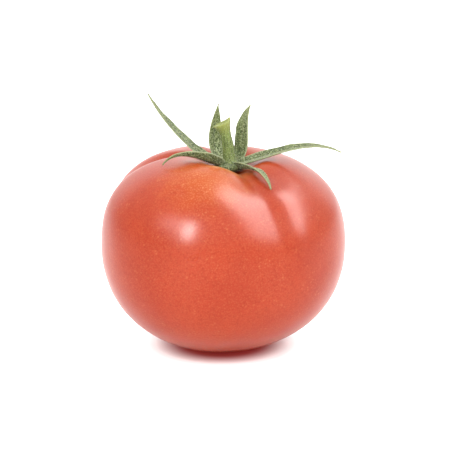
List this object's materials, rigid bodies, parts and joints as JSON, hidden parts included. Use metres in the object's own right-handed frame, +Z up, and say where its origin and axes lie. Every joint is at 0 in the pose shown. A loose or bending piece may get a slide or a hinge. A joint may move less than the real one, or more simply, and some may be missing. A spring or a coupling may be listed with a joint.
{
  "type": "tomato",
  "caption": "Ripe round tomato with a green calyx of curling sepals and a short snapped stem, resting on a small flat spot.",
  "frame": {"origin": "middle of the flat spot that the fruit rests on", "axes": "+Z up through the fruit towards the stem pit, -Y towards the front with the deepest crease, +X to the right"},
  "size_m": [0.0747, 0.0741, 0.0783],
  "materials": {
    "tomato_skin": "smooth waxy orange-red skin with soft gloss, fine golden flecks and a lighter ring round the stem pit",
    "calyx_green": "matt grey-green leaf tissue with a pale down of fine hairs",
    "stem_green": "yellow-green fibrous stem with fine hairs and a paler snapped end"
  },
  "bodies": {
    "root": {"fruit": "tomato_skin", "calyx": "calyx_green", "pedicel": "stem_green"}
  },
  "joints": []
}
